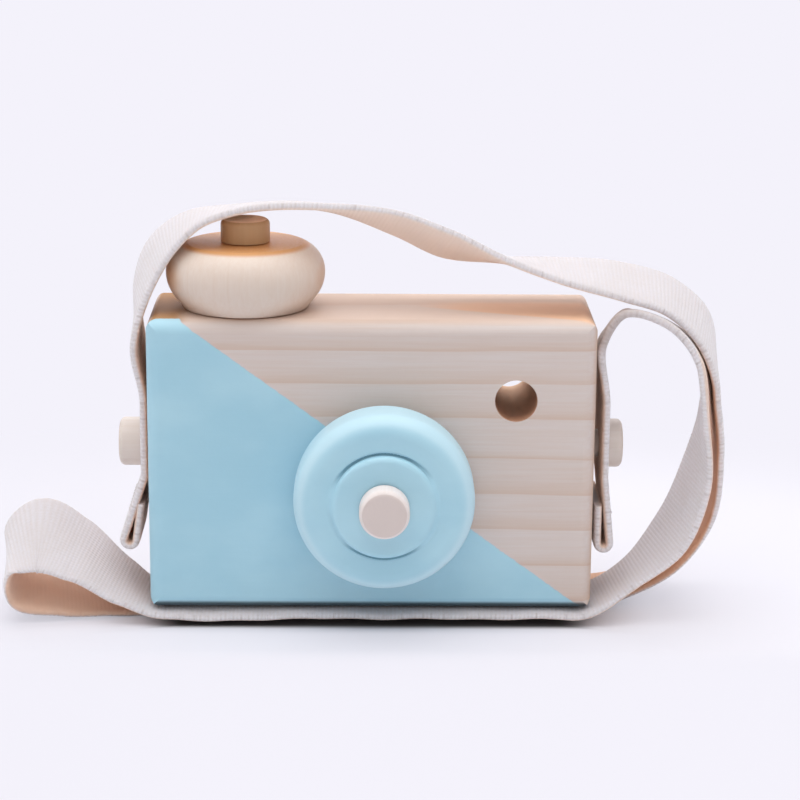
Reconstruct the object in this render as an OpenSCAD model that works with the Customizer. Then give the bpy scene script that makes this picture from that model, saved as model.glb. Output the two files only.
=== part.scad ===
// Wooden toy camera on a cotton neck strap: a rounded block with a painted corner,
// a turning lens, a turning winder knob, and four headed pegs that hold them all.
// The table is z = 0, the front faces -Y, and the strap lies doubled under the block.

/* [Block] */
// Width of the wooden block
block_w = 95; // [84:1:120]
// Depth of the block, front to back
block_d = 30; // [27:1:40]
// Height of the block
block_h = 63.5; // [58:0.5:75]
// Rounding along every edge of the block
block_edge = 2.75; // [1:0.25:4]
// Where the painted corner starts on the top edge, from the left side
paint_start = 7; // [3:0.5:20]
// Where the painted corner ends on the bottom edge, from the right side
paint_end = 1.5; // [1:0.5:20]
// Diameter of the viewfinder hole
finder_d = 9; // [6:0.5:12]
// Viewfinder hole to the right of the middle
finder_x = 30.5; // [24:0.5:34]
// Viewfinder hole above the underside of the block
finder_z = 46.5; // [43:0.5:50]

/* [Lens] */
// Diameter of the lens disc
lens_d = 38; // [32:1:44]
// Thickness of the lens disc
lens_t = 13.5; // [10:0.5:18]
// Rounding of the rim of the lens disc
lens_rim = 4; // [2:0.5:5]
// Lens to the right of the middle
lens_x = 2.7; // [-4:0.1:6]
// Lens above the underside of the block
lens_z = 27.4; // [24:0.1:32]
// Diameter of the front disc of the lens
hub_d = 22; // [16:0.5:24]
// How far the front disc sits in the lens disc
hub_seat = 1; // [0.5:0.25:3]
// How far the front disc stands out
hub_proud = 1.65; // [1.5:0.05:4]
// Rounding of the front disc
hub_rim = 1.2; // [0.4:0.1:1.4]

/* [Winder knob] */
// Diameter of the knob at its belly
knob_d = 34; // [28:1:38]
// Height of the knob
knob_h = 13.7; // [12:0.1:18]
// Height of the belly above the underside of the knob
knob_belly = 7.4; // [6.5:0.1:8]
// Knob to the left of the middle
knob_x = 27; // [25:0.5:30]
// Radius of the shoulder above the belly
knob_shoulder = 6.6; // [6.4:0.1:9]
// Radius of the flank below the belly
knob_flank = 8; // [7.6:0.1:8.4]

/* [Pegs] */
// Diameter of the peg heads
head_d = 10.5; // [9:0.5:12]
// Length of the peg heads
head_l = 4.8; // [4:0.2:7]
// Length of the right strap peg's head
right_head_l = 3.2; // [3:0.2:7]
// Rounding of the peg heads
head_rim = 1.2; // [0.6:0.2:2]
// Diameter of the peg shanks
shank_d = 6; // [5:0.5:7]
// Depth of the hole for the lens peg
lens_hole = 18; // [12:1:22]
// Depth of the hole for the knob peg
knob_hole = 20; // [12:1:24]
// Depth of the holes for the strap pegs
side_hole = 14; // [10:1:16]
// Strap pegs above the underside of the block
side_z = 33.3; // [28:0.1:36]

/* [Strap] */
// Width of the cotton strap
strap_w = 20; // [14:1:26]
// Thickness of the strap
strap_t = 1.7; // [1.2:0.1:2]
// Room between the block and the left strap end
left_room = 0.25; // [0.2:0.05:1.5]
// Room between the block and the right strap end
right_room = 1.85; // [0.2:0.05:2]
// Length of the strap end above its peg
end_rise = 7; // [6.5:0.5:12]
// Length of the strap end below its peg, to where it leans out
end_drop = 5.5; // [5:0.5:8]
// Length of the hem below that, to its fold
hem_l = 14.5; // [12:0.5:16]
// Length turned back up inside the hem
hem_back = 8.5; // [6:0.5:9]
// Inner radius of the hem's fold
hem_fold = 0.5; // [0.4:0.1:1]

/* [Fits] */
// Glue gap round a shank in the block
glue_gap = 0.05; // [0.02:0.01:0.1]
// Radial gap round a shank in a turning piece
turn_gap = 0.1; // [0.05:0.01:0.1]
// End gap at each face of a turning piece
end_gap = 0.25; // [0.2:0.05:0.5]
// Radial gap round a shank in a strap end
strap_gap = 0.4; // [0.2:0.1:1]
// Gap round the front disc in its seat
seat_gap = 0.25; // [0.2:0.05:0.6]
// Bevel on the rim of that seat
seat_bevel = 0.5; // [0.2:0.1:0.8]
// Gap between the layers under the block
layer_gap = 0.15; // [0.1:0.05:0.3]
// Overrun of the cuts
over = 1; // [0.5:0.5:2]

/* [Hidden] */
$fn = 96;

wood = "#e3c9ae";
pale_wood = "#e8d6bf";
paint = "#9cc6da";
cotton = "#ece4da";

// Places that follow from the sizes above
lens_base = end_gap;
lens_face = lens_base + lens_t;
hub_base = lens_face - hub_seat;
hub_face = lens_face + hub_proud;
seat_r = hub_d / 2 + seat_gap;
lens_reach = hub_face + end_gap;
knob_base = end_gap;
knob_reach = knob_base + knob_h + end_gap;
lens_tip = lens_reach + head_l;
lower_z = strap_t / 2;
upper_z = lower_z + strap_t + layer_gap;
block_z = upper_z + strap_t / 2 + layer_gap;
block_top = block_z + block_h;
peg_z = block_z + side_z;
// The origin is under the middle of the depth from the lens peg's tip to the back of the knob
block_y = (block_d / 2 + lens_tip - knob_d / 2) / 2;
front_y = block_y - block_d / 2;
bore_d = shank_d + 2 * turn_gap;
left_reach = left_room + strap_t + end_gap;
right_reach = right_room + strap_t + end_gap;

// Where the knob's flank turns into a straight slope, in degrees below its belly
slope_turn = 38;

// How far each hem leans out, and how far its turned back layer does, in degrees
left_lean = 19;
left_back_lean = 8;
right_lean = 6;
right_back_lean = 0;

// The strap's routes, in mm from the block's middle and the table. Each row holds the place
// of the strap's middle, and how far its back edge leans right and up per mm of its width.
neck_route = [
    [-48.6, 0, 44, 0, 0], [-48.6, 0, 48.5, 0, 0], [-50.4, 0, 60, 0, 0],
    [-49.4, 0, 70.5, -0.19, 0], [-45.6, 0, 79, -0.28, 0], [-38, 0, 85.5, -0.2, -0.05],
    [-29, 0, 88, 0, -0.12], [-8, 0, 88.4, 0, -0.22], [6, 0, 85, 0, -0.44],
    [16, 0, 80.8, 0, -0.5], [26, 0, 77.9, 0, -0.25], [40, 0, 75.2, 0, 0.04],
    [53, 0, 73, 0.04, 0.19], [64.3, 0, 69.4, 0.16, 0.18], [70.9, 0, 63.5, 0.22, 0.13],
    [74.4, 1, 53, 0.1, 0.03], [75.9, 3.5, 36, 0.04, 0], [74.1, 6, 19.4, 0, 0],
    [66.8, 6, 8.8, 0, -0.03], [57, 6, 2.9, 0, -0.05], [50, 6, 0.95, 0, 0], [46, 6, 0.95, 0, 0]];
loop_route = [
    [-42, 0, 0.95, 0, 0], [-50, 0, 0.95, 0, 0], [-58, -1.5, 2.2, 0, 0.08], [-67, -3.2, 3.6, 0, 0.2],
    [-77.4, -5, 6.6, -0.05, 0.26], [-78.3, -5.4, 13, -0.1, 0.42], [-72.6, -5.5, 17, 0, 0.7],
    [-64, -5.4, 13.8, 0, 0.5], [-54, -5.6, 6.6, 0, 0.2], [-46, -6, 2.7, 0, 0], [-41, -6, 2.7, 0, 0]];
right_route = [
    [41, -6, 2.7, 0, 0], [46, -6, 2.7, 0, 0], [57, -5.2, 8.9, -0.02, -0.03],
    [65.4, -4.2, 17.5, -0.16, 0.12], [70.4, -4, 30, -0.16, 0.03], [71.9, -4, 44, 0.08, 0],
    [70.3, -3.9, 57, 0.2, -0.2], [62.4, -2.8, 64.6, 0.12, -0.22], [54.3, -1.6, 66, 0.11, -0.22],
    [50.2, -0.6, 60, 0.08, -0.2], [50.2, 0, 48, 0, 0], [50.2, 0, 44, 0, 0]];
// Rings in each step of a route
ring_steps = 2;
// Share of the strap's thickness that its bevelled edge takes
bevel_share = 0.3;

// Flat outline with round corners
module round_outline(w, h, r) {
    square([w - 2 * r, h], center = true);
    square([w, h - 2 * r], center = true);
    for (x = [-1, 1], y = [-1, 1])
        translate([x * (w / 2 - r), y * (h / 2 - r)])
            circle(r);
}

// The bare block, rounded on every edge, standing on z = 0 about the middle
module block_form() {
    translate([0, 0, block_h / 2])
        intersection() {
            linear_extrude(block_h, center = true)
                round_outline(block_w, block_d, block_edge);
            rotate([90, 0, 0])
                linear_extrude(block_d, center = true)
                    round_outline(block_w, block_h, block_edge);
            rotate([90, 0, 90])
                linear_extrude(block_w, center = true)
                    round_outline(block_d, block_h, block_edge);
        }
}

// Everything below the paint's diagonal, as deep as the front edge's rounding
module paint_zone() {
    translate([0, block_edge - block_d / 2, 0])
        rotate([90, 0, 0])
            linear_extrude(block_edge + over)
                polygon([[-block_w / 2 - over, -over], [block_w / 2 - paint_end, -over],
                    [block_w / 2 - paint_end, 0], [paint_start - block_w / 2, block_h],
                    [paint_start - block_w / 2, block_h + over],
                    [-block_w / 2 - over, block_h + over]]);
}

// The viewfinder and the four blind holes for the pegs
module block_holes() {
    hole_d = shank_d + 2 * glue_gap;
    translate([finder_x, 0, finder_z])
        rotate([90, 0, 0])
            cylinder(h = block_d + 2 * over, d = finder_d, center = true);
    translate([lens_x, lens_hole - block_d / 2, lens_z])
        rotate([90, 0, 0])
            cylinder(h = lens_hole + over, d = hole_d);
    translate([-knob_x, 0, block_h - knob_hole])
        cylinder(h = knob_hole + over, d = hole_d);
    for (side = [-1, 1])
        translate([side * (block_w / 2 - side_hole), 0, side_z])
            rotate([0, side * 90, 0])
                cylinder(h = side_hole + over, d = hole_d);
}

module block() {
    translate([0, block_y, block_z]) {
        color(wood)
            difference() {
                block_form();
                paint_zone();
                block_holes();
            }
        color(paint)
            difference() {
                intersection() {
                    block_form();
                    paint_zone();
                }
                block_holes();
            }
    }
}

// Puts a turned piece on the lens axis, its base on the front of the block
module on_lens_axis() {
    translate([lens_x, front_y, block_z + lens_z])
        rotate([90, 0, 0])
            children();
}

// Half section of a round disc with its rims rounded
module disc_section(r, low, high, low_rim, high_rim) {
    square_low = low + low_rim;
    square_high = high - high_rim;
    translate([0, square_low])
        square([r, square_high - square_low]);
    if (low_rim > 0) {
        translate([0, low])
            square([r - low_rim, low_rim]);
        translate([r - low_rim, square_low])
            circle(low_rim);
    }
    translate([0, square_high])
        square([r - high_rim, high_rim]);
    translate([r - high_rim, square_high])
        circle(high_rim);
}

module lens_disc() {
    color(paint)
        on_lens_axis()
            rotate_extrude()
                difference() {
                    disc_section(lens_d / 2, lens_base, lens_face, lens_rim, lens_rim);
                    square([bore_d / 2, lens_face + over]);
                    translate([0, hub_base])
                        square([hub_d / 2 + seat_gap, hub_seat + over]);
                    polygon([[0, lens_face - seat_bevel], [seat_r, lens_face - seat_bevel],
                        [seat_r + seat_bevel, lens_face], [seat_r + seat_bevel, lens_face + over],
                        [0, lens_face + over]]);
                }
}

module lens_front_disc() {
    color(paint)
        on_lens_axis()
            rotate_extrude()
                difference() {
                    disc_section(hub_d / 2, hub_base, hub_face, 0, hub_rim);
                    square([bore_d / 2, hub_face + over]);
                }
}

// A headed peg along +Z: its shank fills a hole that deep, its head starts at reach
module peg(hole, reach, head = head_l) {
    rotate_extrude() {
        translate([0, end_gap - hole])
            square([shank_d / 2, hole - end_gap + reach]);
        disc_section(head_d / 2, reach, reach + head, 0, head_rim);
    }
}

module lens_peg() {
    color(pale_wood)
        on_lens_axis()
            peg(lens_hole, lens_reach);
}

// Puts a turned piece on the knob's axis, its base on the top of the block
module on_knob_axis() {
    translate([-knob_x, block_y, block_top])
        children();
}

// Half section of the knob: a round shoulder over a flank that ends in a straight slope
module knob_section() {
    belly_z = knob_base + knob_belly;
    shoulder_r = knob_d / 2 - knob_shoulder;
    flank_r = knob_d / 2 - knob_flank;
    slope_r = flank_r + knob_flank * cos(slope_turn);
    slope_z = belly_z - knob_flank * sin(slope_turn);
    foot_r = slope_r - (slope_z - knob_base) * tan(slope_turn);
    intersection() {
        union() {
            translate([0, belly_z])
                square([shoulder_r, knob_h - knob_belly]);
            translate([shoulder_r, belly_z])
                circle(knob_shoulder);
        }
        translate([0, belly_z])
            square([knob_d, knob_h - knob_belly]);
    }
    intersection() {
        union() {
            translate([0, slope_z])
                square([flank_r, belly_z - slope_z]);
            translate([flank_r, belly_z])
                circle(knob_flank);
        }
        translate([0, slope_z])
            square([knob_d, belly_z - slope_z]);
    }
    polygon([[0, knob_base], [foot_r, knob_base], [slope_r, slope_z], [0, slope_z]]);
}

module winder_knob() {
    color(wood)
        on_knob_axis()
            rotate_extrude()
                difference() {
                    knob_section();
                    square([bore_d / 2, knob_reach + over]);
                }
}

module knob_peg() {
    color(pale_wood)
        on_knob_axis()
            peg(knob_hole, knob_reach);
}

module left_strap_peg() {
    color(pale_wood)
        translate([-block_w / 2, block_y, peg_z])
            rotate([0, -90, 0])
                peg(side_hole, left_reach);
}

module right_strap_peg() {
    color(pale_wood)
        translate([block_w / 2, block_y, peg_z])
            rotate([0, 90, 0])
                peg(side_hole, right_reach, right_head_l);
}

// Section of a strap end, seen from the front: straight past the peg, then leaning out to a
// fold and turned back up inside. x is outwards from the block's side, y is up from the peg.
module end_section(room, lean, back_lean) {
    middle = room + strap_t / 2;
    fold_out = hem_fold + strap_t;
    fold_middle = hem_fold + strap_t / 2;
    fold_x = middle - fold_middle * cos(lean) + hem_l * sin(lean);
    fold_y = -end_drop - fold_middle * sin(lean) - hem_l * cos(lean);
    translate([room, -end_drop])
        square([strap_t, end_drop + end_rise]);
    translate([middle, -end_drop])
        circle(strap_t / 2);
    translate([fold_x, fold_y]) {
        rotate(lean)
            translate([hem_fold, 0])
                square([strap_t, hem_l]);
        rotate(back_lean)
            translate([-fold_out, 0])
                square([strap_t, hem_back]);
        difference() {
            circle(fold_out);
            circle(hem_fold);
            rotate(lean)
                square([fold_out, fold_out]);
            rotate(back_lean)
                translate([-fold_out, 0])
                    square([fold_out, fold_out]);
        }
    }
}

// A strap end on one side of the block, with the hole that its peg goes through
module strap_end(side, room, lean, back_lean) {
    translate([side * block_w / 2, block_y, peg_z])
        difference() {
            rotate([90, 0, 0])
                linear_extrude(strap_w, center = true)
                    scale(side < 0 ? [-1, 1, 1] : [1, 1, 1])
                        end_section(room, lean, back_lean);
            rotate([0, side * 90, 0])
                cylinder(h = room + strap_t + over, d = shank_d + 2 * strap_gap);
        }
}

module strap_left_end() {
    color(cotton)
        strap_end(-1, left_room, left_lean, left_back_lean);
}

module strap_right_end() {
    color(cotton)
        strap_end(1, right_room, right_lean, right_back_lean);
}

// A smooth curve through the rows of a route: on each step a cubic that takes its slope at a
// row from the chords on both sides
function place(row) = [row[0], row[1], row[2]];
function unit(v) = v / norm(v);
function chord(route, i) = norm(place(route[i + 1]) - place(route[i]));
function chord_slope(route, i) = (route[i + 1] - route[i]) / chord(route, i);
function row_slope(route, i) =
    i == 0 ? chord_slope(route, 0)
    : i == len(route) - 1 ? chord_slope(route, i - 1)
    : (chord_slope(route, i - 1) * chord(route, i) + chord_slope(route, i) * chord(route, i - 1))
        / (chord(route, i - 1) + chord(route, i));
function curve_row(route, i, t) =
    (2 * t^3 - 3 * t^2 + 1) * route[i] + (3 * t^2 - 2 * t^3) * route[i + 1]
    + chord(route, i) * ((t^3 - 2 * t^2 + t) * row_slope(route, i)
        + (t^3 - t^2) * row_slope(route, i + 1));
function curve_heading(route, i, t) =
    unit(place((6 * t^2 - 6 * t) * (route[i] - route[i + 1])
        + chord(route, i) * ((3 * t^2 - 4 * t + 1) * row_slope(route, i)
            + (3 * t^2 - 2 * t) * row_slope(route, i + 1))));

// The strap's section: a flat band with bevelled edges, as [across, up] pairs
band_across = strap_w / 2;
band_up = strap_t / 2;
band_bevel = strap_t * bevel_share;
band_corner = [band_across, band_up - band_bevel];
band_face = [band_across - band_bevel, band_up];
band = [[band_corner[0], band_corner[1]], [band_face[0], band_face[1]],
    [-band_face[0], band_face[1]], [-band_corner[0], band_corner[1]],
    [-band_corner[0], -band_corner[1]], [-band_face[0], -band_face[1]],
    [band_face[0], -band_face[1]], [band_corner[0], -band_corner[1]]];
function ring(route, i, t) =
    let (row = curve_row(route, i, t),
        heading = curve_heading(route, i, t),
        lean = [row[3], 1, row[4]],
        across = unit(lean - (lean * heading) * heading),
        up = cross(heading, across))
    [for (b = band) place(row) + [0, block_y, 0] + b[0] * across + b[1] * up];

// The strap swept along one route
module strap_run(route) {
    steps = len(route) - 1;
    rings = [for (i = [0:steps - 1], k = [0:ring_steps - 1]) ring(route, i, k / ring_steps),
        ring(route, steps - 1, 1)];
    sides = len(band);
    last = sides * (len(rings) - 1);
    points = [for (r = rings, p = r) p];
    walls = [for (r = [0:len(rings) - 2], s = [0:sides - 1], half = [0, 1])
        let (a = r * sides + s, b = r * sides + (s + 1) % sides)
        half == 0 ? [a, b, b + sides] : [a, b + sides, a + sides]];
    start = [for (s = [1:sides - 2]) [0, s + 1, s]];
    finish = [for (s = [1:sides - 2]) [last, last + s, last + s + 1]];
    color(cotton)
        polyhedron(points, concat(walls, start, finish));
}

module strap_neck_run() {
    strap_run(neck_route);
}

module strap_left_loop() {
    strap_run(loop_route);
}

module strap_right_run() {
    strap_run(right_route);
}

// A flat stretch under the block, from the end of one route to the start of the next
module flat_layer(from, to, z) {
    edge = strap_w / 2;
    color(cotton)
        translate([0, block_y, z - strap_t / 2])
            linear_extrude(strap_t)
                polygon([[from[0], from[1] - edge], [from[0], from[1] + edge],
                    [to[0], to[1] + edge], [to[0], to[1] - edge]]);
}

module strap_lower_layer() {
    flat_layer(neck_route[len(neck_route) - 1], loop_route[0], lower_z);
}

module strap_upper_layer() {
    flat_layer(loop_route[len(loop_route) - 1], right_route[0], upper_z);
}

block();
lens_disc();
lens_front_disc();
lens_peg();
winder_knob();
knob_peg();
left_strap_peg();
right_strap_peg();
strap_left_end();
strap_neck_run();
strap_lower_layer();
strap_left_loop();
strap_upper_layer();
strap_right_run();
strap_right_end();
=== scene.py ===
# Looks of a wooden toy camera on a cotton neck strap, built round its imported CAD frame

import bpy
import numpy as np
from mathutils import Matrix, Vector


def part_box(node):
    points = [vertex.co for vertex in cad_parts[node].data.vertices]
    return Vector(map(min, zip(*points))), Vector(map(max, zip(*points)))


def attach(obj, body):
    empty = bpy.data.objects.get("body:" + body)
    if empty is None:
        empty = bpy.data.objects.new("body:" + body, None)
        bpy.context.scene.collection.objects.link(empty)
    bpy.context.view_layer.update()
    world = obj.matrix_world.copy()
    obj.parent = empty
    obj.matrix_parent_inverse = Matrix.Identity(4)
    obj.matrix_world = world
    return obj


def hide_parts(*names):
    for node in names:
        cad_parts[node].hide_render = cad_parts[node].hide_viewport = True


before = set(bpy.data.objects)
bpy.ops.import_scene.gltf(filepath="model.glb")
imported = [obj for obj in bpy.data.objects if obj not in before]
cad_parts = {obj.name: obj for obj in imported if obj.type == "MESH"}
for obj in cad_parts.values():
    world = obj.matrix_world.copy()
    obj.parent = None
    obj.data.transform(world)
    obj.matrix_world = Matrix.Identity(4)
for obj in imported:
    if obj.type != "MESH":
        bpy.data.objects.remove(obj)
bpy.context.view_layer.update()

MM = 0.001
FRAME_PX = 800

# Places of the wooden pieces, taken from the frame, in millimetres
BLOCK_LOW, BLOCK_HIGH = (np.array(corner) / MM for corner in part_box("block"))
BLOCK_Y = float(BLOCK_LOW[1] + BLOCK_HIGH[1]) / 2
BLOCK_Z = float(BLOCK_LOW[2])
FRONT_Y = float(BLOCK_LOW[1])
LENS_LOW, LENS_HIGH = (np.array(corner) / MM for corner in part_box("lens_disc"))
LENS_MIDDLE = (LENS_LOW + LENS_HIGH) / 2
HUB_LOW, HUB_HIGH = (np.array(corner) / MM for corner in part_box("lens_front_disc"))
HUB_R = (HUB_HIGH[0] - HUB_LOW[0]) / 2

# The sight hole, and where the painted corner starts on the top edge and stops on the bottom one
FINDER_X = 30.5
FINDER_Z = BLOCK_Z + 46.5
FINDER_R = 4.5
PAINT_START = np.array([BLOCK_LOW[0] + 7.0, BLOCK_HIGH[2]])
PAINT_STOP = np.array([BLOCK_HIGH[0] - 1.5, BLOCK_LOW[2]])

# The strap: its size, its hems and its route, in millimetres, as the CAD has them but for one row
# more at 47.5 high, which brings the back edge of the run at the right a little inwards
STRAP_W = 20.0
STRAP_T = 1.7
PEG_Z = 37.0
SIDE_X = 47.5
END_DROP = 5.5
END_RISE = 6.5
HEM_L = 14.5
HEM_BACK = 8.5
FOLD_R = 0.5 + STRAP_T / 2
LEFT_HEM = {"side": -1, "middle": 1.1, "lean": 19.0, "back_lean": 8.0}
RIGHT_HEM = {"side": 1, "middle": 2.7, "lean": 6.0, "back_lean": 0.0}
# Each row: the place of the strap's middle, and its back edge's lean right and up per mm of width
ROUTE = np.array([
    [-48.6, 0, 44, 0, 0], [-48.6, 0, 48.5, 0, 0], [-50.4, 0, 60, 0, 0],
    [-49.4, 0, 70.5, -0.19, 0], [-45.6, 0, 79, -0.28, 0], [-38, 0, 85.5, -0.2, -0.05],
    [-29, 0, 88, 0, -0.12], [-8, 0, 88.4, 0, -0.22], [6, 0, 85, 0, -0.44],
    [16, 0, 80.8, 0, -0.5], [26, 0, 77.9, 0, -0.25], [40, 0, 75.2, 0, 0.04],
    [53, 0, 73, 0.04, 0.19], [64.3, 0, 69.4, 0.16, 0.18], [70.9, 0, 63.5, 0.22, 0.13],
    [74.4, 1, 53, 0.1, 0.03], [74.8, 1.8, 47.5, 0.055, 0.015], [75.9, 3.5, 36, 0.04, 0],
    [74.1, 6, 19.4, 0, 0], [66.8, 6, 8.8, 0, -0.03], [57, 6, 2.9, 0, -0.05],
    [50, 6, 0.95, 0, 0], [46, 6, 0.95, 0, 0], [-42, 0, 0.95, 0, 0], [-50, 0, 0.95, 0, 0],
    [-58, -1.5, 2.2, 0, 0.08], [-67, -3.2, 3.6, 0, 0.2], [-77.4, -5, 6.6, -0.05, 0.26],
    [-78.3, -5.4, 13, -0.1, 0.42], [-72.6, -5.5, 17, 0, 0.7], [-64, -5.4, 13.8, 0, 0.5],
    [-54, -5.6, 6.6, 0, 0.2], [-46, -6, 2.7, 0, 0], [-41, -6, 2.7, 0, 0],
    [41, -6, 2.7, 0, 0], [46, -6, 2.7, 0, 0], [57, -5.2, 8.9, -0.02, -0.03],
    [65.4, -4.2, 17.5, -0.16, 0.12], [70.4, -4, 30, -0.16, 0.03], [71.9, -4, 44, 0.08, 0],
    [70.3, -3.9, 57, 0.2, -0.2], [62.4, -2.8, 64.6, 0.12, -0.22], [54.3, -1.6, 66, 0.11, -0.22],
    [50.2, -0.6, 60, 0.08, -0.2], [50.2, 0, 48, 0, 0], [50.2, 0, 44, 0, 0]], float)
STRAP_NODES = ("strap_left_end", "strap_neck_run", "strap_lower_layer", "strap_left_loop",
               "strap_upper_layer", "strap_right_run", "strap_right_end")

# Distance of points along the strap, and the pitch of its threads along, across and at its edges
STRAP_STEP = 0.31
WEFT_PITCH = 0.87
WARP_PITCH = 0.8
EDGE_PITCH = 1.24
# Stitches across each hem: their number, radius and half length
STITCHES = 9
STITCH_R = 0.2
STITCH_HALF = 0.85


# Camera

def make_camera():
    """A camera at the photograph's place: its focal length in pixels, its pitch, yaw and roll."""
    focal_px, middle_v = 2486.71, 420.0
    pitch, yaw, roll = 0.266, 0.0148, -0.0079
    place = np.array([-1.485, -521.37 + BLOCK_Y, 180.27 + BLOCK_Z]) * MM
    ahead = np.array([np.sin(yaw) * np.cos(pitch), np.cos(yaw) * np.cos(pitch), -np.sin(pitch)])
    level = np.array([np.cos(yaw), -np.sin(yaw), 0.0])
    above = np.cross(level, ahead)
    right = np.cos(roll) * level - np.sin(roll) * above
    up = np.sin(roll) * level + np.cos(roll) * above
    data = bpy.data.cameras.new("photo_camera")
    data.sensor_width = 36.0
    data.lens = focal_px * data.sensor_width / FRAME_PX
    data.shift_y = (middle_v - FRAME_PX / 2) / FRAME_PX
    data.clip_start = 0.01
    data.clip_end = 20.0
    camera = bpy.data.objects.new("photo_camera", data)
    matrix = Matrix.Identity(4)
    for column, axis in enumerate((right, up, -ahead)):
        for row in range(3):
            matrix[row][column] = axis[row]
    matrix.translation = Vector(place)
    camera.matrix_world = matrix
    bpy.context.collection.objects.link(camera)
    bpy.context.scene.camera = camera


# The strap's middle line

def route_line(rows, steps=48):
    """Points along a smooth curve through the rows: on each step a cubic that takes its slope at a
    row from the chords on both sides, each weighted by the other's length."""
    span = np.diff(rows, axis=0)
    chord = np.linalg.norm(span[:, :3], axis=1)[:, None]
    slope = span / chord
    middle = (slope[:-1] * chord[1:] + slope[1:] * chord[:-1]) / (chord[:-1] + chord[1:])
    tangent = np.concatenate([slope[:1], middle, slope[-1:]])
    t = np.linspace(0, 1, steps, endpoint=False)[None, :, None]
    line = ((2 * t**3 - 3 * t**2 + 1) * rows[:-1, None] + (3 * t**2 - 2 * t**3) * rows[1:, None]
            + chord[:, None] * ((t**3 - 2 * t**2 + t) * tangent[:-1, None]
                                + (t**3 - t**2) * tangent[1:, None]))
    return np.concatenate([line.reshape(-1, rows.shape[1]), rows[-1:]])


def hem_line(side, middle, lean, back_lean):
    """A strap end from its peg to the tip of its hem: straight down, then leaning out, half round
    the fold, and back up inside. Worked out as (outwards, up) pairs in the front's plane."""
    lean, back_lean = np.radians(lean), np.radians(back_lean)
    along = np.array([-np.sin(lean), np.cos(lean)])
    knee = np.array([middle, -END_DROP])
    fold = knee - FOLD_R * np.array([np.cos(lean), np.sin(lean)]) - HEM_L * along
    turn = np.linspace(lean, back_lean - np.pi, 40)
    bend = fold + FOLD_R * np.stack([np.cos(turn), np.sin(turn)], 1)
    back = np.array([-np.sin(back_lean), np.cos(back_lean)])
    tip = bend[-1] + HEM_BACK * back
    straight = np.linspace(knee + [0, END_DROP + END_RISE], knee, 30, endpoint=False)
    leaning = np.linspace(knee, bend[0], 40, endpoint=False)
    inside = np.linspace(bend[-1], tip, 24)[1:]
    flat = np.concatenate([straight, leaning, bend, inside])
    line = np.zeros((len(flat), 5))
    line[:, 0] = side * (SIDE_X + flat[:, 0])
    line[:, 2] = PEG_Z + flat[:, 1]
    return line


def even_line(line, step):
    """The same line with its points an even distance apart."""
    run = np.concatenate([[0], np.cumsum(np.linalg.norm(np.diff(line[:, :3], axis=0), axis=1))])
    at = np.linspace(0, run[-1], int(run[-1] / step) + 1)
    return np.stack([np.interp(at, run, line[:, k]) for k in range(line.shape[1])], 1), at


def strap_frames(step):
    """The strap's middle line from hem tip to hem tip, with its directions across and up: across is
    the row's lean less its part along the line, and up is square to both."""
    line = np.concatenate([hem_line(**LEFT_HEM)[::-1], route_line(ROUTE), hem_line(**RIGHT_HEM)])
    line, at = even_line(line, step)
    place = line[:, :3] + [0, BLOCK_Y, 0]
    heading = np.gradient(place, axis=0)
    heading /= np.linalg.norm(heading, axis=1)[:, None]
    lean = np.stack([line[:, 3], np.ones(len(line)), line[:, 4]], 1)
    across = lean - (lean * heading).sum(1)[:, None] * heading
    across /= np.linalg.norm(across, axis=1)[:, None]
    return place, at, across, np.cross(heading, across)


# Meshes

def put_mesh(name, points, faces, smooth=True):
    """A mesh object at the origin from points in millimetres."""
    mesh = bpy.data.meshes.new(name)
    mesh.from_pydata((points * MM).tolist(), [], faces)
    mesh.polygons.foreach_set("use_smooth", np.full(len(mesh.polygons), smooth))
    mesh.update()
    piece = bpy.data.objects.new(name, mesh)
    bpy.context.collection.objects.link(piece)
    return piece


def grid_faces(rows, columns, first=0):
    """Quads of a grid whose columns close on themselves."""
    row, column = np.meshgrid(np.arange(rows - 1), np.arange(columns), indexing="ij")
    nxt = (column + 1) % columns
    quads = np.stack([row * columns + column, row * columns + nxt,
                      (row + 1) * columns + nxt, (row + 1) * columns + column], -1)
    return (quads.reshape(-1, 4) + first).tolist()


def strap_section():
    """The strap's section as (across, up) pairs: flat faces whose edges are rounded off, thickness
    falling as the square root of one less the 24th power of the share across."""
    share = np.concatenate([np.linspace(0, 0.9, 7), [0.945, 0.97, 0.986, 0.996, 1.0]])
    half = np.sqrt(np.clip(1 - share**24, 0, 1))
    top = np.concatenate([np.stack([-share[:0:-1], half[:0:-1]], 1), np.stack([share, half], 1)])
    under = top[1:-1][::-1] * [1, -1]
    return np.concatenate([top, under]) * [STRAP_W / 2, STRAP_T / 2]


def strap_shading(place, at):
    """How much of a browner painted shade the strap's inner side takes along its length, how far the
    inner side's tan painted shade takes in its edges, and how much grey painted shade the strap
    takes. The first two rise on the way down at the right and end at the loop's far left. The arch
    over the right peg has no brown, and goes grey with painted shade towards its left."""
    x, z = place[:, 0], place[:, 2]
    far_left = at[np.argmin(x)]

    def first(where):
        return at[np.argmax(where)]

    low_left = first((x < -46) & (z < 2))
    arch = first((at > far_left) & (z > 57))
    # Share of a browner painted shade on the inner side, from the run at the right down to the loop's
    # far left
    brown_shade = np.interp(at, [first((x > 66) & (z < 62)), first((x > 66) & (z < 50)), low_left,
                          far_left, far_left + 6],
                     [0.0, 1.0, 0.5, 0.5, 0.0])
    # How far the inner side's tan painted shade takes in the edges; over the arch it takes that tan away
    edge = np.interp(at, [first((x > 60) & (z < 24)), first((x > 60) & (z < 14)), far_left - 3,
                          far_left + 3, arch, arch + 6, arch + 27, arch + 33],
                     [0.0, 1.0, 1.0, 0.0, 0.0, -1.25, -1.25, 0.0])
    # Grey painted shade over the arch, strongest towards its left
    grey = np.interp(at, arch + np.array([0, 6, 15, 21, 24, 29]), [0.0, 0.2, 0.35, 1.0, 1.0, 0.0])
    return brown_shade, edge, grey


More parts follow.
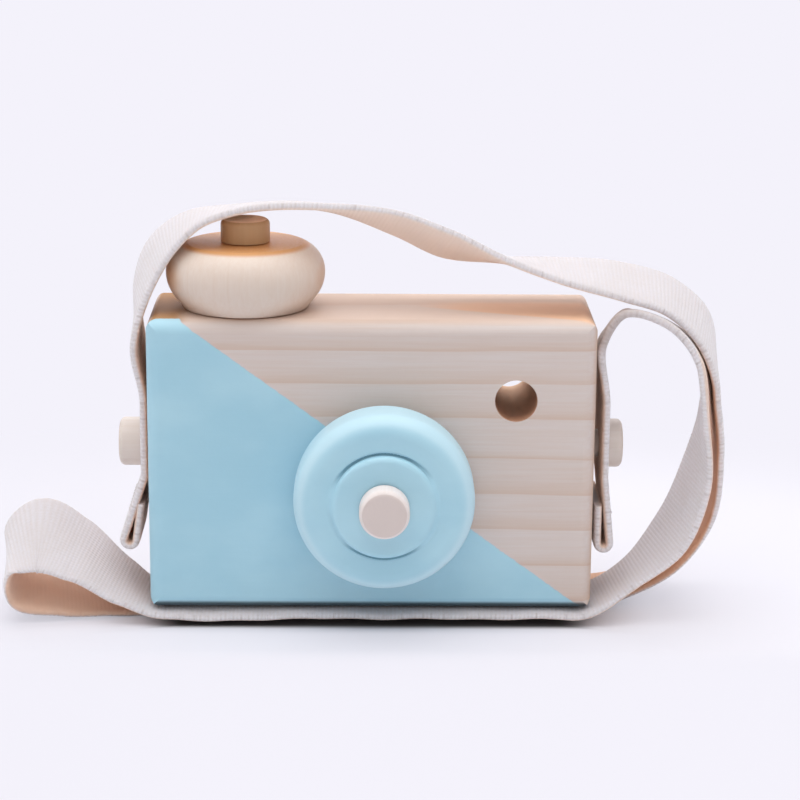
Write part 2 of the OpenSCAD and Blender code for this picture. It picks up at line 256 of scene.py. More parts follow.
def hold_values(mesh, name, values):
    """Keeps one value per vertex on a mesh, for its material to read."""
    held = mesh.attributes.new(name, "FLOAT", "POINT")
    held.data.foreach_set("value", np.asarray(values, np.float32).ravel())


def edge_fall(place, section):
    """How far the strap's points sink under the block, where the upper layer's front edge hangs: by
    the square of the share across past 0.3, in slow waves and with one deeper dip at the left. It
    fades out round the block's ends."""
    x = place[:, 0]
    under = (place[:, 1] < BLOCK_Y - 5.4) & (np.abs(x) < 52)
    wave = 0.12 * np.sin(x / 2.1) + 0.1 * np.sin(x / 3.7 + 1.0) + 0.7 * np.exp(-((x + 33) / 9)**2)
    depth = (0.45 + wave) * np.clip((52 - np.abs(x)) / 8, 0, 1) * under
    return depth[:, None] * np.clip(-section[:, 0] / (STRAP_W / 2) - 0.3, 0, 0.7)**2 / 0.49


def make_strap():
    """The strap: its section carried along its middle line. Its edges swell with every turn of the
    weft, by a sine along the length, and wander a little by two slower sines."""
    place, at, across, up = strap_frames(STRAP_STEP)
    section = strap_section()
    edge = np.abs(section[:, 0]) / (STRAP_W / 2)
    wander = 0.05 * np.sin(at / 2.9) + 0.05 * np.sin(at / 6.7 + 1.0)
    swell = (0.05 * np.sin(2 * np.pi * at / EDGE_PITCH) + wander)[:, None] * edge[None, :]**12
    wide = section[None, :, 0] + swell * np.sign(section[None, :, 0])
    points = (place[:, None] + wide[..., None] * across[:, None]
              + section[None, :, 1, None] * up[:, None])
    points[..., 2] -= edge_fall(place, section)
    rows, columns = len(place), len(section)
    faces = grid_faces(rows, columns)
    faces.append(list(range(columns))[::-1])
    faces.append(list(range((rows - 1) * columns, rows * columns)))
    strap = put_mesh("neck_strap", points.reshape(-1, 3), faces)
    mesh = strap.data
    mesh.polygons[len(faces) - 2].use_smooth = False
    mesh.polygons[len(faces) - 1].use_smooth = False
    corner = np.empty(len(mesh.loops), np.int32)
    mesh.loops.foreach_get("vertex_index", corner)
    layer = mesh.uv_layers.new(name="weave")
    chart = np.stack([at[corner // columns], section[corner % columns, 0]], 1)
    layer.data.foreach_set("uv", chart.astype(np.float32).ravel())
    # Shares of painted shade along the strap, for its cloth to read
    brown_shade, edge_shade, grey = strap_shading(place, at)
    # Share of the tan painted shade: the inner face, and the edges as far as the strap's shading says
    inner = np.clip(0.5 - section[:, 1] / STRAP_T + 0.4 * edge_shade[:, None], 0, 1)
    hold_values(mesh, "inner_side", inner)
    hold_values(mesh, "brown_shade", np.repeat(brown_shade, columns))
    hold_values(mesh, "grey", np.repeat(grey, columns))
    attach(strap, "camera")
    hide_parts(*STRAP_NODES)
    return strap


def stitch_row(side, middle, lean, back_lean):
    """Where the stitches of one hem go: places across the strap on its outer face, a little below
    the tip of the turned back layer, with the directions along and out of that face."""
    lean = np.radians(lean)
    down = np.array([side * np.sin(lean), 0.0, -np.cos(lean)])
    out = np.array([side * np.cos(lean), 0.0, np.sin(lean)])
    knee = np.array([side * (SIDE_X + middle), BLOCK_Y, PEG_Z - END_DROP])
    start = knee + down * (HEM_L - HEM_BACK + 1.8) + out * STRAP_T / 2
    across = np.linspace(-STRAP_W / 2 + 1.3, STRAP_W / 2 - 1.3, STITCHES)
    return start[None] + across[:, None] * [0.0, 1.0, 0.0], down, out


def make_stitches():
    """Threads that hold the hems: each is a capsule, a circle whose radius falls as the root of one
    less the fourth power of the share along, half sunk in the cloth."""
    share = np.linspace(-1, 1, 9)
    thick = STITCH_R * np.sqrt(np.clip(1 - share**4, 0.02, 1))
    turn = np.linspace(0, 2 * np.pi, 8, endpoint=False)
    rings, sides = len(share), len(turn)
    points, faces = [], []
    for hem in (LEFT_HEM, RIGHT_HEM):
        spots, down, out = stitch_row(**hem)
        ring = np.cos(turn)[None, :, None] * out + np.sin(turn)[None, :, None] * down
        body = share[:, None, None] * [0.0, STITCH_HALF, 0.0] + thick[:, None, None] * ring
        for spot in spots:
            first = len(points) * rings * sides
            points.append((spot + body).reshape(-1, 3))
            faces += grid_faces(rings, sides, first)
            faces.append((first + np.arange(sides)[::-1]).tolist())
            faces.append((first + (rings - 1) * sides + np.arange(sides)).tolist())
    stitches = put_mesh("hem_stitches", np.concatenate(points), faces)
    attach(stitches, "camera")
    return stitches


# Sections of the paint in the lens's joint, as radius past the disc and height above the lens's face
OPEN_JOINT = np.array([[0.85, 0.02], [0.7, -0.06], [0.5, -0.25], [0.35, -0.4], [0.2, -0.45],
                       [0.1, -0.4], [0.03, -0.2], [0.01, 0.05], [-0.01, 0.3]])
FULL_JOINT = np.array([[1.1, 0.02], [0.8, 0.08], [0.55, 0.2], [0.35, 0.38], [0.2, 0.58],
                       [0.08, 0.8], [-0.05, 1.0], [-0.2, 1.2], [-0.45, 1.4]])


def make_joint_paint():
    """Paint that has run into the joint round the lens's front disc. Its section goes smoothly from
    an open groove at the top and the bottom to a full fillet at the sides, by the square of the
    cosine of the angle, a little more at the right and in seven slight waves."""
    turns, steps = 192, len(OPEN_JOINT)
    angle = np.linspace(0, 2 * np.pi, turns, endpoint=False)
    level = np.cos(angle)**2 + 0.2 * np.cos(angle + 0.8) + 0.08 * np.sin(7 * angle)
    level = np.clip((level - 0.08) / 0.84, 0, 1)
    level = (level**2 * (3 - 2 * level))[:, None, None]
    section = (1 - level) * OPEN_JOINT + level * FULL_JOINT
    radius = HUB_R + section[..., 0]
    ring = np.stack([LENS_MIDDLE[0] + radius * np.cos(angle)[:, None], LENS_LOW[1] - section[..., 1],
                     LENS_MIDDLE[2] + radius * np.sin(angle)[:, None]], -1)
    row, column = np.meshgrid(np.arange(turns), np.arange(steps - 1), indexing="ij")
    after = (row + 1) % turns
    quads = np.stack([row * steps + column, row * steps + column + 1,
                      after * steps + column + 1, after * steps + column], -1)
    paint = put_mesh("lens_joint_paint", ring.reshape(-1, 3), quads.reshape(-1, 4).tolist())
    # Painted shade held by the joint's paint: darkest in the open groove at the top and the bottom, none
    # where the fillet is full
    shade = (1 - level[..., 0]) * np.sin(np.pi * np.linspace(0, 1, steps))**0.6
    hold_values(paint.data, "joint_shade", shade)
    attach(paint, "lens")
    return paint


# Materials

def plug(tree, socket, value):
    """Links an output to a socket, or sets a plain value on it."""
    if isinstance(value, bpy.types.NodeSocket):
        tree.links.new(value, socket)
    else:
        socket.default_value = value


def math(tree, operation, *values, clamp=False):
    """A Math node's result."""
    node = tree.nodes.new("ShaderNodeMath")
    node.operation = operation
    node.use_clamp = clamp
    for socket, value in zip(node.inputs, values):
        plug(tree, socket, value)
    return node.outputs[0]


def remap(tree, value, low, high, out_low=0.0, out_high=1.0, smooth=True):
    """Value carried from one range to another, held at the ends."""
    node = tree.nodes.new("ShaderNodeMapRange")
    node.interpolation_type = "SMOOTHSTEP" if smooth else "LINEAR"
    for socket, amount in zip(node.inputs[:5], (value, low, high, out_low, out_high)):
        plug(tree, socket, amount)
    return node.outputs[0]


def mix(tree, share, first, second, blend="MIX"):
    """Two colours mixed by a share."""
    node = tree.nodes.new("ShaderNodeMix")
    node.data_type = "RGBA"
    node.blend_type = blend
    plug(tree, node.inputs[0], share)
    plug(tree, node.inputs[6], first)
    plug(tree, node.inputs[7], second)
    return node.outputs[2]


def part_mix(tree, value, low, high, most, first, second):
    """Two colours mixed by a value that is carried from low to high, up to a most share."""
    return mix(tree, remap(tree, value, low, high, 0.0, most), first, second)


def noise(tree, vector, scale, detail=2.0, roughness=0.5):
    """Noise about 0.5 on a vector."""
    node = tree.nodes.new("ShaderNodeTexNoise")
    plug(tree, node.inputs["Vector"], vector)
    node.inputs["Scale"].default_value = scale
    node.inputs["Detail"].default_value = detail
    node.inputs["Roughness"].default_value = roughness
    return node.outputs["Fac"]


def stretch(tree, vector, scale, shift=(0.0, 0.0, 0.0), turn=(0.0, 0.0, 0.0)):
    """A vector moved, turned and scaled by a Mapping node."""
    node = tree.nodes.new("ShaderNodeMapping")
    plug(tree, node.inputs["Vector"], vector)
    node.inputs["Location"].default_value = shift
    node.inputs["Rotation"].default_value = turn
    node.inputs["Scale"].default_value = scale
    return node.outputs[0]


def held_value(tree, name):
    """A value that the mesh keeps by name, or 0 where it has none."""
    node = tree.nodes.new("ShaderNodeAttribute")
    node.attribute_name = name
    return node.outputs["Fac"]


def split(tree, vector):
    """The three parts of a vector."""
    node = tree.nodes.new("ShaderNodeSeparateXYZ")
    tree.links.new(vector, node.inputs[0])
    return node.outputs


def hypotenuse(tree, first, second):
    """The length of a line by its parts along two axes."""
    square = math(tree, "MULTIPLY", second, second)
    return math(tree, "SQRT", math(tree, "MULTIPLY_ADD", first, first, square))


def linear(red, green, blue):
    """A colour written as 0 to 255 screen values, as linear light with full alpha."""
    screen = np.array([red, green, blue]) / 255
    light = np.where(screen <= 0.04045, screen / 12.92, ((screen + 0.055) / 1.055)**2.4)
    return (*light.tolist(), 1.0)


def new_group(name, inputs, outputs):
    """An empty shader group with float or vector sockets; returns it with its inputs and outputs."""
    tree = bpy.data.node_groups.new(name, "ShaderNodeTree")
    for label, kind in inputs:
        tree.interface.new_socket(label, in_out="INPUT", socket_type=kind)
    for label, kind in outputs:
        tree.interface.new_socket(label, in_out="OUTPUT", socket_type=kind)
    return tree, tree.nodes.new("NodeGroupInput"), tree.nodes.new("NodeGroupOutput")


def use_group(tree, group, **values):
    """A group placed in a material, with its values set by socket name."""
    node = tree.nodes.new("ShaderNodeGroup")
    node.node_tree = group
    for label, value in values.items():
        plug(tree, node.inputs[label], value)
    return node.outputs


def make_grain_group():
    """Sawn softwood. Rings: the height across the grain, bent a little, is cut into yearly steps;
    each step is dark at its start and fades, by its own amount. Fibre: fine streaks along x.
    Clouds: broad patches, longer along x."""
    tree, given, put = new_group(
        "softwood_grain",
        [("Place", "NodeSocketVector"), ("Spacing", "NodeSocketFloat"), ("Start", "NodeSocketFloat")],
        [("Rings", "NodeSocketFloat"), ("Fibre", "NodeSocketFloat"), ("Clouds", "NodeSocketFloat")])
    place = given.outputs["Place"]
    parts = split(tree, place)
    bend = noise(tree, stretch(tree, place, (0.006, 0.03, 0.03)), 1.0, 1.0)
    ripple = noise(tree, stretch(tree, place, (0.03, 0.2, 0.2)), 1.0, 2.0)
    height = math(tree, "MULTIPLY_ADD", parts[1], 0.16, parts[2])
    height = math(tree, "MULTIPLY_ADD", math(tree, "SUBTRACT", bend, 0.5), 6.0, height)
    height = math(tree, "MULTIPLY_ADD", math(tree, "SUBTRACT", ripple, 0.5), 0.9, height)
    year = math(tree, "DIVIDE", math(tree, "SUBTRACT", height, given.outputs["Start"]),
                given.outputs["Spacing"])
    count = math(tree, "FLOOR", year)
    since = math(tree, "SUBTRACT", year, count)
    own = tree.nodes.new("ShaderNodeTexWhiteNoise")
    own.noise_dimensions = "1D"
    tree.links.new(count, own.inputs["W"])
    fade = math(tree, "MULTIPLY_ADD", own.outputs["Value"], 0.26, 0.07)
    dark = math(tree, "EXPONENT", math(tree, "MULTIPLY", math(tree, "DIVIDE", since, fade), -1.0))
    rise = remap(tree, since, 0.0, 0.03)
    depth = math(tree, "MULTIPLY_ADD", own.outputs["Value"], -0.35, 0.95)
    rings = math(tree, "MULTIPLY", math(tree, "MULTIPLY", dark, rise), depth)
    tree.links.new(rings, put.inputs["Rings"])
    tree.links.new(noise(tree, stretch(tree, place, (0.05, 1.6, 1.6)), 1.0, 4.0, 0.6),
                   put.inputs["Fibre"])
    tree.links.new(noise(tree, stretch(tree, place, (0.02, 0.07, 0.07)), 1.0, 2.0),
                   put.inputs["Clouds"])
    return tree


def make_paint_group():
    """A brushed film of paint: broad clouds of tone, and a fine orange peel for its bump."""
    tree, given, put = new_group("paint_film", [("Place", "NodeSocketVector")],
                                 [("Tone", "NodeSocketFloat"), ("Height", "NodeSocketFloat")])
    place = given.outputs["Place"]
    tree.links.new(noise(tree, stretch(tree, place, (0.05, 0.09, 0.09)), 1.0, 3.0), put.inputs["Tone"])
    peel = noise(tree, place, 1.4, 2.0)
    brush = noise(tree, stretch(tree, place, (0.06, 1.1, 1.1)), 1.0, 3.0)
    tree.links.new(math(tree, "MULTIPLY_ADD", peel, 0.5, math(tree, "MULTIPLY", brush, 0.5)),
                   put.inputs["Height"])
    return tree


def start_material(name):
    """A material with its tree, its one Principled shader, the place in millimetres and the chart
    that the place comes from."""
    material = bpy.data.materials.new(name)
    material.use_nodes = True
    tree = material.node_tree
    shader = tree.nodes["Principled BSDF"]
    chart = tree.nodes.new("ShaderNodeTexCoord")
    scale = 1 / MM
    place = stretch(tree, chart.outputs["Object"], (scale, scale, scale))
    return material, tree, shader, place, chart


def bump(tree, height, distance, strength=1.0):
    """A Bump node on a height; the distance is in metres."""
    node = tree.nodes.new("ShaderNodeBump")
    plug(tree, node.inputs["Height"], height)
    node.inputs["Distance"].default_value = distance
    node.inputs["Strength"].default_value = strength
    return node.outputs[0]


WOOD_PALE = linear(219, 208, 204)
# Painted warm shade for the block's top
WOOD_TOP_WARM_SHADE = linear(216, 188, 168)
WOOD_BROWN = linear(200, 160, 130)
WOOD_END = linear(206, 172, 144)
# Painted shade at the top's left end, beside the knob
WOOD_KNOB_SHADE = linear(172, 120, 56)
# Painted strap shadow across the block's top
WOOD_AMBER_SHADE = linear(238, 183, 134)
WOOD_BORE = linear(205, 154, 124)
# Painted light deep in the sight hole
WOOD_BORE_DEEP_LIGHT = linear(255, 218, 190)
# Painted shade on the block's underside
UNDERSIDE_SHADE = linear(48, 60, 66)
PAINT = linear(178, 218, 233)
PAINT_DEEP = linear(168, 211, 228)
# Paler paint at the rims: thinner paint and a painted highlight
PAINT_RIM_HIGHLIGHT = linear(203, 231, 242)
# Painted shade in the lens's joint
PAINT_JOINT_SHADE = linear(122, 162, 178)
COTTON_PALE = linear(235, 231, 235)
# Painted shade on the strap's upward faces
COTTON_UP_SHADE = linear(213, 208, 213)
COTTON_DIM = linear(204, 193, 188)
# Painted warm shade on the strap's inner side, and a paler copy higher up as painted light
COTTON_TAN_SHADE = linear(234, 206, 187)
COTTON_TAN_LIT = linear(244, 226, 212)
# Deeper brown painted shade on the strap's inner side
COTTON_BROWN_SHADE = linear(210, 158, 122)
COTTON_NICK = linear(150, 132, 126)
# Painted shade over the strap's arch
COTTON_GREY_SHADE = linear(152, 124, 106)
BACKDROP = linear(244, 242, 251)


def make_block_material(grain, film):
    """Pale softwood with a painted front corner. The paint lies below a straight diagonal and no
    deeper than the front edge's rounding. The top is warmer, as painted warm shade, and browner at its
    left end, as painted shade beside the knob, with a slanting amber strip of painted strap shadow in
    front at its right; the ends show the darker end grain, the sight hole is brown inside and paler
    deeper in, as painted light, and the underside is dark, as painted shade."""
    material, tree, shader, place, chart = start_material("block_wood_and_paint")
    figure = use_group(tree, grain, Place=place, Spacing=7.9, Start=BLOCK_Z + 1.1)
    x, y, z = split(tree, place)
    normal = split(tree, chart.outputs["Normal"])
    wood = mix(tree, math(tree, "MULTIPLY", figure["Rings"], 0.7), WOOD_PALE, WOOD_BROWN)
    wood = part_mix(tree, figure["Fibre"], 0.3, 0.7, 0.14, wood, WOOD_BROWN)
    wood = part_mix(tree, figure["Clouds"], 0.35, 0.7, 0.12, wood, WOOD_END)
    # Painted warm shade: faces that look up take a warmer tone
    wood = part_mix(tree, normal[2], 0.6, 0.95, 0.6, wood, WOOD_TOP_WARM_SHADE)
    # Painted shade: the top goes brown at its left end, beside the knob and under the strap
    knob_shade = math(tree, "MULTIPLY", remap(tree, x, -37.0, -43.0), remap(tree, normal[2], 0.6, 0.95))
    wood = part_mix(tree, knob_shade, 0.0, 1.0, 0.9, wood, WOOD_KNOB_SHADE)
    # Painted shadow: a slanting amber strip where the strap's shadow falls on the top at its right
    ahead = math(tree, "SUBTRACT", math(tree, "MULTIPLY_ADD", x, 0.37, y), BLOCK_Y)
    strap_shadow_band = math(tree, "MULTIPLY", remap(tree, ahead, 2.3, 4.3), remap(tree, x, 4.0, 24.0))
    strap_shadow_band = math(tree, "MULTIPLY", strap_shadow_band, remap(tree, y, BLOCK_Y + 8, BLOCK_Y))
    strap_shadow_band = math(tree, "MULTIPLY", strap_shadow_band, remap(tree, normal[2], 0.3, 0.8))
    wood = part_mix(tree, strap_shadow_band, 0.0, 1.0, 0.62, wood, WOOD_AMBER_SHADE)
    wood = part_mix(tree, math(tree, "ABSOLUTE", normal[0]), 0.6, 0.95, 0.55, wood, WOOD_END)
    reach = hypotenuse(tree, math(tree, "SUBTRACT", x, FINDER_X), math(tree, "SUBTRACT", z, FINDER_Z))
    level = remap(tree, math(tree, "ABSOLUTE", normal[1]), 0.3, 0.1)
    bore = math(tree, "MULTIPLY", remap(tree, reach, FINDER_R + 0.2, FINDER_R + 0.05), level)
    # Painted light: the sight hole's wall goes paler deeper in
    inside = part_mix(tree, y, FRONT_Y + 2, FRONT_Y + 14, 1.0, WOOD_BORE, WOOD_BORE_DEEP_LIGHT)
    wood = mix(tree, bore, wood, inside)
    coat = use_group(tree, film, Place=place)
    paint = mix(tree, remap(tree, coat["Tone"], 0.3, 0.7), PAINT, PAINT_DEEP)
    run = (PAINT_STOP - PAINT_START) / np.linalg.norm(PAINT_STOP - PAINT_START)
    wobble = math(tree, "MULTIPLY", math(tree, "SUBTRACT", noise(tree, place, 0.9, 3.0), 0.5), 0.5)
    above = math(tree, "MULTIPLY", math(tree, "SUBTRACT", x, float(PAINT_START[0])), float(-run[1]))
    rise = math(tree, "SUBTRACT", z, float(PAINT_START[1]))
    above = math(tree, "MULTIPLY_ADD", rise, float(run[0]), above)
    below = remap(tree, math(tree, "ADD", above, wobble), 0.12, -0.12)
    deep = remap(tree, math(tree, "ADD", y, wobble), FRONT_Y + 2.5, FRONT_Y + 2.2)
    painted = math(tree, "MULTIPLY", below, deep)
    colour = mix(tree, painted, wood, paint)
    # Painted shade: faces that look down go dark, under the block's lower edge
    colour = part_mix(tree, normal[2], -0.3, -0.65, 0.92, colour, UNDERSIDE_SHADE)
    plug(tree, shader.inputs["Base Color"], colour)
    rough = remap(tree, painted, 0.0, 1.0, 0.62, 0.45, smooth=False)
    plug(tree, shader.inputs["Roughness"], math(tree, "MAXIMUM", rough, bore))
    shader.inputs["Specular IOR Level"].default_value = 0.35
    bare = math(tree, "SUBTRACT", 1.0, math(tree, "MULTIPLY", painted, 0.7))
    height = math(tree, "MULTIPLY", figure["Fibre"], bare)
    height = math(tree, "MULTIPLY_ADD", coat["Height"], math(tree, "MULTIPLY", painted, 0.4), height)
    plug(tree, shader.inputs["Normal"], bump(tree, height, 0.00012, 0.5))
    return material


def make_paint_material(name, film, rim):
    """Satin paint, a little deeper in its clouds, paler round the rims by a share, as thinner paint
    there and as a painted highlight, and dark where the joint's paint holds painted shade."""
    material, tree, shader, place, chart = start_material(name)
    coat = use_group(tree, film, Place=place)
    paint = mix(tree, remap(tree, coat["Tone"], 0.3, 0.7), PAINT, PAINT_DEEP)
    facing = math(tree, "ABSOLUTE", split(tree, chart.outputs["Normal"])[1])
    # Paler round the rims: thinner paint there and a painted highlight
    paint = part_mix(tree, facing, 0.98, 0.75, rim, paint, PAINT_RIM_HIGHLIGHT)
    # Painted shade in the joint, by the share that its paint holds
    paint = mix(tree, held_value(tree, "joint_shade"), paint, PAINT_JOINT_SHADE)
    plug(tree, shader.inputs["Base Color"], paint)
    plug(tree, shader.inputs["Roughness"], remap(tree, coat["Tone"], 0.3, 0.7, 0.38, 0.48))
    shader.inputs["Specular IOR Level"].default_value = 0.4
    plug(tree, shader.inputs["Normal"], bump(tree, coat["Height"], 0.0001, 0.35))
    return material


TURNS = ((0.0, 0.0, 0.0), (0.0, 0.0, -np.pi / 2), (0.0, np.pi / 2, 0.0))


def make_turned_material(name, grain, axis, pale, brown, end, share, limb_shade=0.0):
    """Turned wood whose grain runs along its axis, 0 to 2 for x to z, with its end colour where the
    surface faces along the axis: darker end grain, which on the knob also stands for painted shade
    and on the knob peg is paler, as painted light. The limb is the share of end colour put as
    painted shade at its left, and half of it at its right."""
    material, tree, shader, place, chart = start_material(name)
    laid = stretch(tree, place, (1.0, 1.0, 1.0), turn=TURNS[axis])
    figure = use_group(tree, grain, Place=laid, Spacing=3.2, Start=0.0)
    wood = mix(tree, math(tree, "MULTIPLY", figure["Rings"], share), pale, brown)
    wood = part_mix(tree, figure["Fibre"], 0.3, 0.7, 0.12, wood, brown)
    normal = split(tree, chart.outputs["Normal"])
    # Painted shade: end colour at the left side, half as much at the right
    wood = part_mix(tree, normal[0], -0.72, -0.97, limb_shade, wood, end)
    wood = part_mix(tree, normal[0], 0.85, 0.98, limb_shade / 2, wood, end)
    wood = part_mix(tree, math(tree, "ABSOLUTE", normal[axis]), 0.82, 0.93, 1.0, wood, end)
    plug(tree, shader.inputs["Base Color"], wood)
    plug(tree, shader.inputs["Roughness"], remap(tree, figure["Fibre"], 0.3, 0.7, 0.42, 0.55))
    shader.inputs["Specular IOR Level"].default_value = 0.4
    plug(tree, shader.inputs["Normal"], bump(tree, figure["Fibre"], 0.00008, 0.4))
    return material


def make_cotton_material():
    """Undyed cotton webbing, with fine specks and a few nicks at its edges. It is less pale where it
    faces up, as painted shade; tan on its inner side, as painted warm shade, paler there high up as
    painted light, and browner where the strap holds its deeper painted shade; and grey where the
    strap holds painted shade over its arch. Its weave reads the strap's own chart, in millimetres
    along and across: close ribs of weft over a fainter warp."""
    material, tree, shader, place, chart = start_material("strap_cotton")
    along, across, _ = split(tree, chart.outputs["UV"])
    weft = math(tree, "SINE", math(tree, "MULTIPLY", along, 2 * np.pi / WEFT_PITCH))
    warp = math(tree, "SINE", math(tree, "MULTIPLY", across, 2 * np.pi / WARP_PITCH))
    weave = math(tree, "MULTIPLY_ADD", weft, 0.3, math(tree, "MULTIPLY_ADD", warp, 0.12, 0.5))
    fuzz = noise(tree, place, 3.5, 3.0)
    clouds = noise(tree, place, 0.12, 3.0)
    up = split(tree, chart.outputs["Normal"])[2]
    # Painted shade: darker where the cloth faces up
    pale = part_mix(tree, up, 0.2, 1.0, 1.0, COTTON_PALE, COTTON_UP_SHADE)
    high = split(tree, place)[2]
    # Painted warm shade on the inner side, paler higher up as painted light
    tan = part_mix(tree, high, 55.0, 75.0, 1.0, COTTON_TAN_SHADE, COTTON_TAN_LIT)
    # Painted shade: browner where the strap holds its deeper shade
    tan = mix(tree, held_value(tree, "brown_shade"), tan, COTTON_BROWN_SHADE)
    speck = noise(tree, place, 1.5, 2.0)
    rim = remap(tree, math(tree, "ABSOLUTE", across), STRAP_W / 2 - 0.7, STRAP_W / 2 - 0.2)
    nick = noise(tree, stretch(tree, chart.outputs["UV"], (1.1, 0.3, 1.0)), 1.0, 2.0)
    nick = math(tree, "MULTIPLY", rim, remap(tree, nick, 0.5, 0.68))
    # Painted shade: darker in the hollows between the weft ribs
    cloth = part_mix(tree, weave, 0.85, 0.15, 0.25, pale, COTTON_DIM)
    cloth = part_mix(tree, fuzz, 0.4, 0.75, 0.25, cloth, COTTON_DIM)
    cloth = part_mix(tree, speck, 0.45, 0.7, 0.2, cloth, COTTON_DIM)
    cloth = part_mix(tree, nick, 0.0, 1.0, 0.26, cloth, COTTON_NICK)
    cloth = part_mix(tree, clouds, 0.4, 0.7, 0.15, cloth, COTTON_DIM)
    # The inner side takes its tan painted shade
    cloth = part_mix(tree, held_value(tree, "inner_side"), 0.55, 0.95, 0.9, cloth, tan)
    # Painted shade: grey over the arch, where the strap holds it
    cloth = part_mix(tree, held_value(tree, "grey"), 0.0, 1.0, 0.42, cloth, COTTON_GREY_SHADE)
    plug(tree, shader.inputs["Base Color"], cloth)
    shader.inputs["Roughness"].default_value = 0.9
    shader.inputs["Specular IOR Level"].default_value = 0.15
    shader.inputs["Sheen Weight"].default_value = 0.1
    shader.inputs["Subsurface Weight"].default_value = 0.12
    shader.inputs["Subsurface Radius"].default_value = (1.0, 0.8, 0.7)
    shader.inputs["Subsurface Scale"].default_value = 0.0015
    height = math(tree, "MULTIPLY_ADD", fuzz, 0.35, weave)
    plug(tree, shader.inputs["Normal"], bump(tree, height, 0.00014, 0.5))
    return material


def dress(node, material):
    """Puts a material on a CAD node."""
    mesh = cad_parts[node].data
    mesh.materials.clear()
    mesh.materials.append(material)


# Stage

# The floor's sweep, in metres: where it starts in front, where it bends up and by what radius, its
# top, half its width, and how far it lies under the object
FLOOR_FRONT = -2.0
FLOOR_BEND = 1.2
FLOOR_BEND_R = 0.6
FLOOR_TOP = 2.4
FLOOR_HALF = 3.0
FLOOR_DROP = 0.00005
FLOOR_LIT = (0.82, 0.81, 0.85, 1.0)
FLOOR_SEEN = (0.78, 0.765, 0.82, 1.0)
# Painted shade towards the floor's left
FLOOR_LEFT_SHADE = (0.5, 0.49, 0.54, 1.0)
# Painted contact shadow under the block
FLOOR_CONTACT_SHADOW = (0.03, 0.03, 0.03, 1.0)


def make_floor_material():
    """The floor's colour is deeper at the left, as painted shade, and dark under the block, as painted
    contact shadow. The camera sees it lit, with the object's shadow, near the object; it goes over to
    one even tone away from the object and soon in front of it."""
    material, tree, shader, place, _ = start_material("floor_pale")
    rays = tree.nodes.new("ShaderNodeLightPath")
    seen = math(tree, "MAXIMUM", rays.outputs["Is Camera Ray"], rays.outputs["Is Glossy Ray"])
    x, y, _ = split(tree, place)
    tone = mix(tree, seen, FLOOR_LIT, FLOOR_SEEN)
    # Painted shade: the floor's tone goes darker towards the left
    tone = part_mix(tree, x, -20.0, -75.0, 0.3, tone, FLOOR_LEFT_SHADE)
    wide = math(tree, "MULTIPLY", math(tree, "SUBTRACT", math(tree, "ABSOLUTE", x), 38.0), 0.28)
    deep = math(tree, "ABSOLUTE", math(tree, "SUBTRACT", y, BLOCK_Y))
    beside = math(tree, "MAXIMUM", wide, math(tree, "SUBTRACT", deep, 14.0))
    # Painted contact shadow: the floor goes dark under the block and fades out round it
    tone = part_mix(tree, beside, 3.5, 0.5, 0.85, tone, FLOOR_CONTACT_SHADOW)
    plug(tree, shader.inputs["Base Color"], tone)
    shader.inputs["Roughness"].default_value = 0.9
    shader.inputs["Specular IOR Level"].default_value = 0.0
    glow = tree.nodes.new("ShaderNodeEmission")
    glow.inputs["Color"].default_value = BACKDROP
    glow.inputs["Strength"].default_value = 1.0
    front = remap(tree, y, FRONT_Y - 3, FRONT_Y - 24, 0.0, 0.9)
    around = split(tree, stretch(tree, place, (1 / 140, 1 / 95, 0.0)))
    away = remap(tree, hypotenuse(tree, around[0], around[1]), 0.45, 1.7)
    even = math(tree, "MAXIMUM", remap(tree, beside, 1.0, 7.0, 0.0, 0.55), away)
    share = math(tree, "MULTIPLY", seen, math(tree, "MAXIMUM", even, front))
    blend = tree.nodes.new("ShaderNodeMixShader")
    tree.links.new(share, blend.inputs[0])
    tree.links.new(shader.outputs[0], blend.inputs[1])
    tree.links.new(glow.outputs[0], blend.inputs[2])
    tree.links.new(blend.outputs[0], tree.nodes["Material Output"].inputs["Surface"])
    return material


def make_floor():
    """A pale floor that goes up behind in a smooth sweep."""
    turn = np.linspace(0, np.pi / 2, 12)[1:]
    flat = np.linspace(FLOOR_FRONT, FLOOR_BEND, 8)
    depth = np.concatenate([flat, FLOOR_BEND + FLOOR_BEND_R * np.sin(turn), [FLOOR_BEND + FLOOR_BEND_R]])
    rise = np.concatenate([0 * flat, FLOOR_BEND_R - FLOOR_BEND_R * np.cos(turn), [FLOOR_TOP]])
    count = len(depth)
    points = np.concatenate([np.stack([np.full(count, x), depth, rise - FLOOR_DROP], 1)
                             for x in (-FLOOR_HALF, FLOOR_HALF)])
    faces = [[i, i + count, i + count + 1, i + 1] for i in range(count - 1)]
    floor = put_mesh("floor_sweep", points / MM, faces)
    floor.data.materials.append(make_floor_material())


# Each lamp: its name, its place and its width and height in metres, and its power in watts
LAMPS = (("top_lamp", (0.0, 0.0, 1.1), (1.2, 1.0), 10.6),
         ("front_lamp", (0.0, -0.7, 0.9), (1.0, 0.6), 1.5),
         ("left_lamp", (-1.1, -0.1, 0.45), (0.9, 0.8), 1.7),
         ("right_lamp", (1.1, -0.1, 0.45), (0.9, 0.8), 0.5),
         ("back_lamp", (0.0, 1.0, 0.7), (1.2, 0.8), 5.3))
LAMP_AIM = (0.0, 0.0, 0.04)
WORLD_POWER = 0.41


def make_lamp(name, place, size, power):
    """A soft white rectangular lamp that looks at the middle of the object."""
    data = bpy.data.lights.new(name, "AREA")
    data.shape = "RECTANGLE"
    data.size, data.size_y = size
    data.energy = power
    lamp = bpy.data.objects.new(name, data)
    lamp.location = place
    lamp.rotation_euler = (Vector(LAMP_AIM) - Vector(place)).to_track_quat("-Z", "Y").to_euler()
    bpy.context.collection.objects.link(lamp)


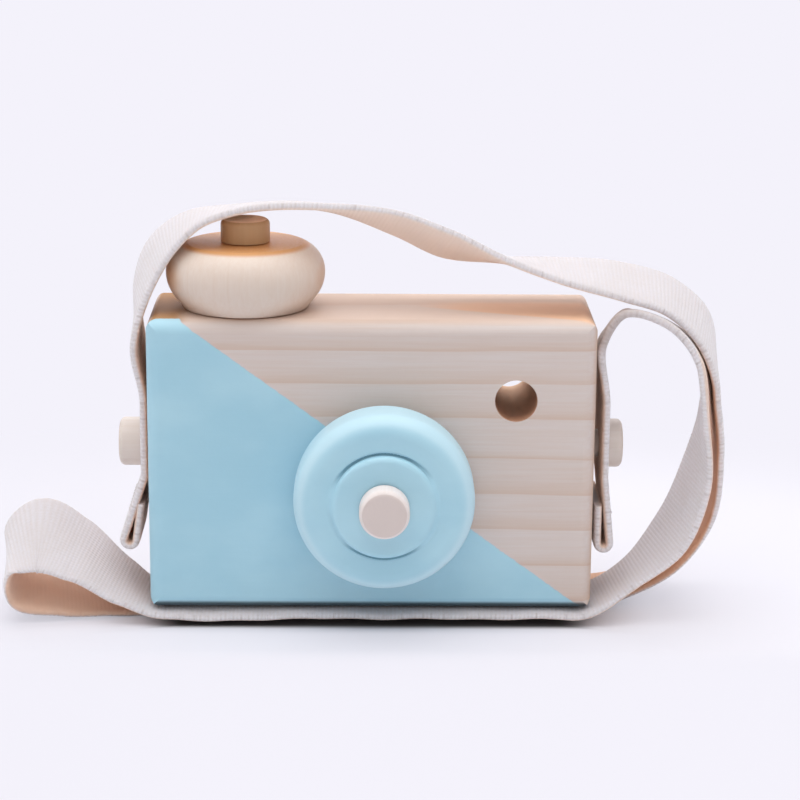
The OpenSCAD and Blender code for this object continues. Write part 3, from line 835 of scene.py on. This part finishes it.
def make_light():
    """A light tent: a big soft lamp above, weaker ones high in front, behind and at both sides, and
    an even world."""
    for lamp in LAMPS:
        make_lamp(*lamp)
    world = bpy.data.worlds.new("studio")
    bpy.context.scene.world = world
    world.use_nodes = True
    tree = world.node_tree
    back = tree.nodes["Background"]
    rays = tree.nodes.new("ShaderNodeLightPath")
    seen = math(tree, "MAXIMUM", rays.outputs["Is Camera Ray"], rays.outputs["Is Glossy Ray"])
    seen = math(tree, "MAXIMUM", seen, rays.outputs["Is Transmission Ray"])
    plug(tree, back.inputs["Color"], mix(tree, seen, (1.0, 1.0, 1.0, 1.0), BACKDROP))
    plug(tree, back.inputs["Strength"], remap(tree, seen, 0.0, 1.0, WORLD_POWER, 1.0, smooth=False))


make_camera()
strap = make_strap()
stitches = make_stitches()
joint_paint = make_joint_paint()

grain = make_grain_group()
film = make_paint_group()
hub_paint = make_paint_material("front_disc_paint", film, 0.0)
dress("block", make_block_material(grain, film))
dress("lens_disc", make_paint_material("lens_paint", film, 0.6))
dress("lens_front_disc", hub_paint)
# The knob's orange end colour is its end grain and also painted shade from the strap on its top
dress("winder_knob", make_turned_material(
    "knob_wood", grain, 2, linear(226, 210, 198), linear(208, 172, 142), linear(212, 156, 103),
    0.12, 0.75))
# The knob peg's side colours are browner than the other pegs' as painted strap shade, and its end colour
# is paler as painted light on its top
dress("knob_peg", make_turned_material(
    "knob_peg_wood", grain, 2, linear(204, 167, 126), linear(190, 145, 105), linear(255, 226, 200),
    0.2))
dress("lens_peg", make_turned_material(
    "lens_peg_wood", grain, 1, linear(236, 226, 223), linear(216, 190, 172), linear(217, 203, 198),
    0.1))
strap_peg_wood = make_turned_material(
    "strap_peg_wood", grain, 0, linear(226, 215, 207), linear(208, 180, 156), linear(212, 190, 172),
    0.12)
dress("left_strap_peg", strap_peg_wood)
dress("right_strap_peg", strap_peg_wood)
cotton_material = make_cotton_material()
strap.data.materials.append(cotton_material)
stitches.data.materials.append(cotton_material)
joint_paint.data.materials.append(hub_paint)

make_floor()
make_light()
bpy.context.scene.view_settings.view_transform = "Standard"
